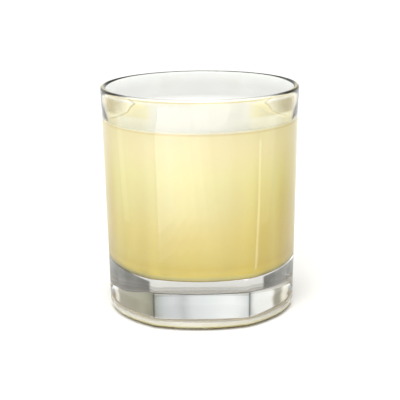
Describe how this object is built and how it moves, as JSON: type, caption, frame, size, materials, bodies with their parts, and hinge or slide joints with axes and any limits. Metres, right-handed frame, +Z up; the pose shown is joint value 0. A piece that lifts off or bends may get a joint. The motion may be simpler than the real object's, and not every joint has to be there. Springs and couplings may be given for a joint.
{
  "type": "glass of pastis",
  "caption": "Clear tumbler with a thick base and soft panels that fade into a round rim, filled to a finger below the rim with a cloudy pale yellow aniseed drink.",
  "frame": {"origin": "centre of the foot, on the surface the glass stands on", "axes": "+Z up along the glass's axis; a panel of the glass faces -Y, towards the picture's camera, and a crease between two panels lies along +X"},
  "size_m": [0.072, 0.072, 0.083],
  "materials": {
    "glass": "clear, polished",
    "drink": "cloudy pale yellow liquid, still and glossy on top"
  },
  "bodies": {
    "root": {"tumbler": "glass", "pastis": "drink"}
  },
  "joints": []
}
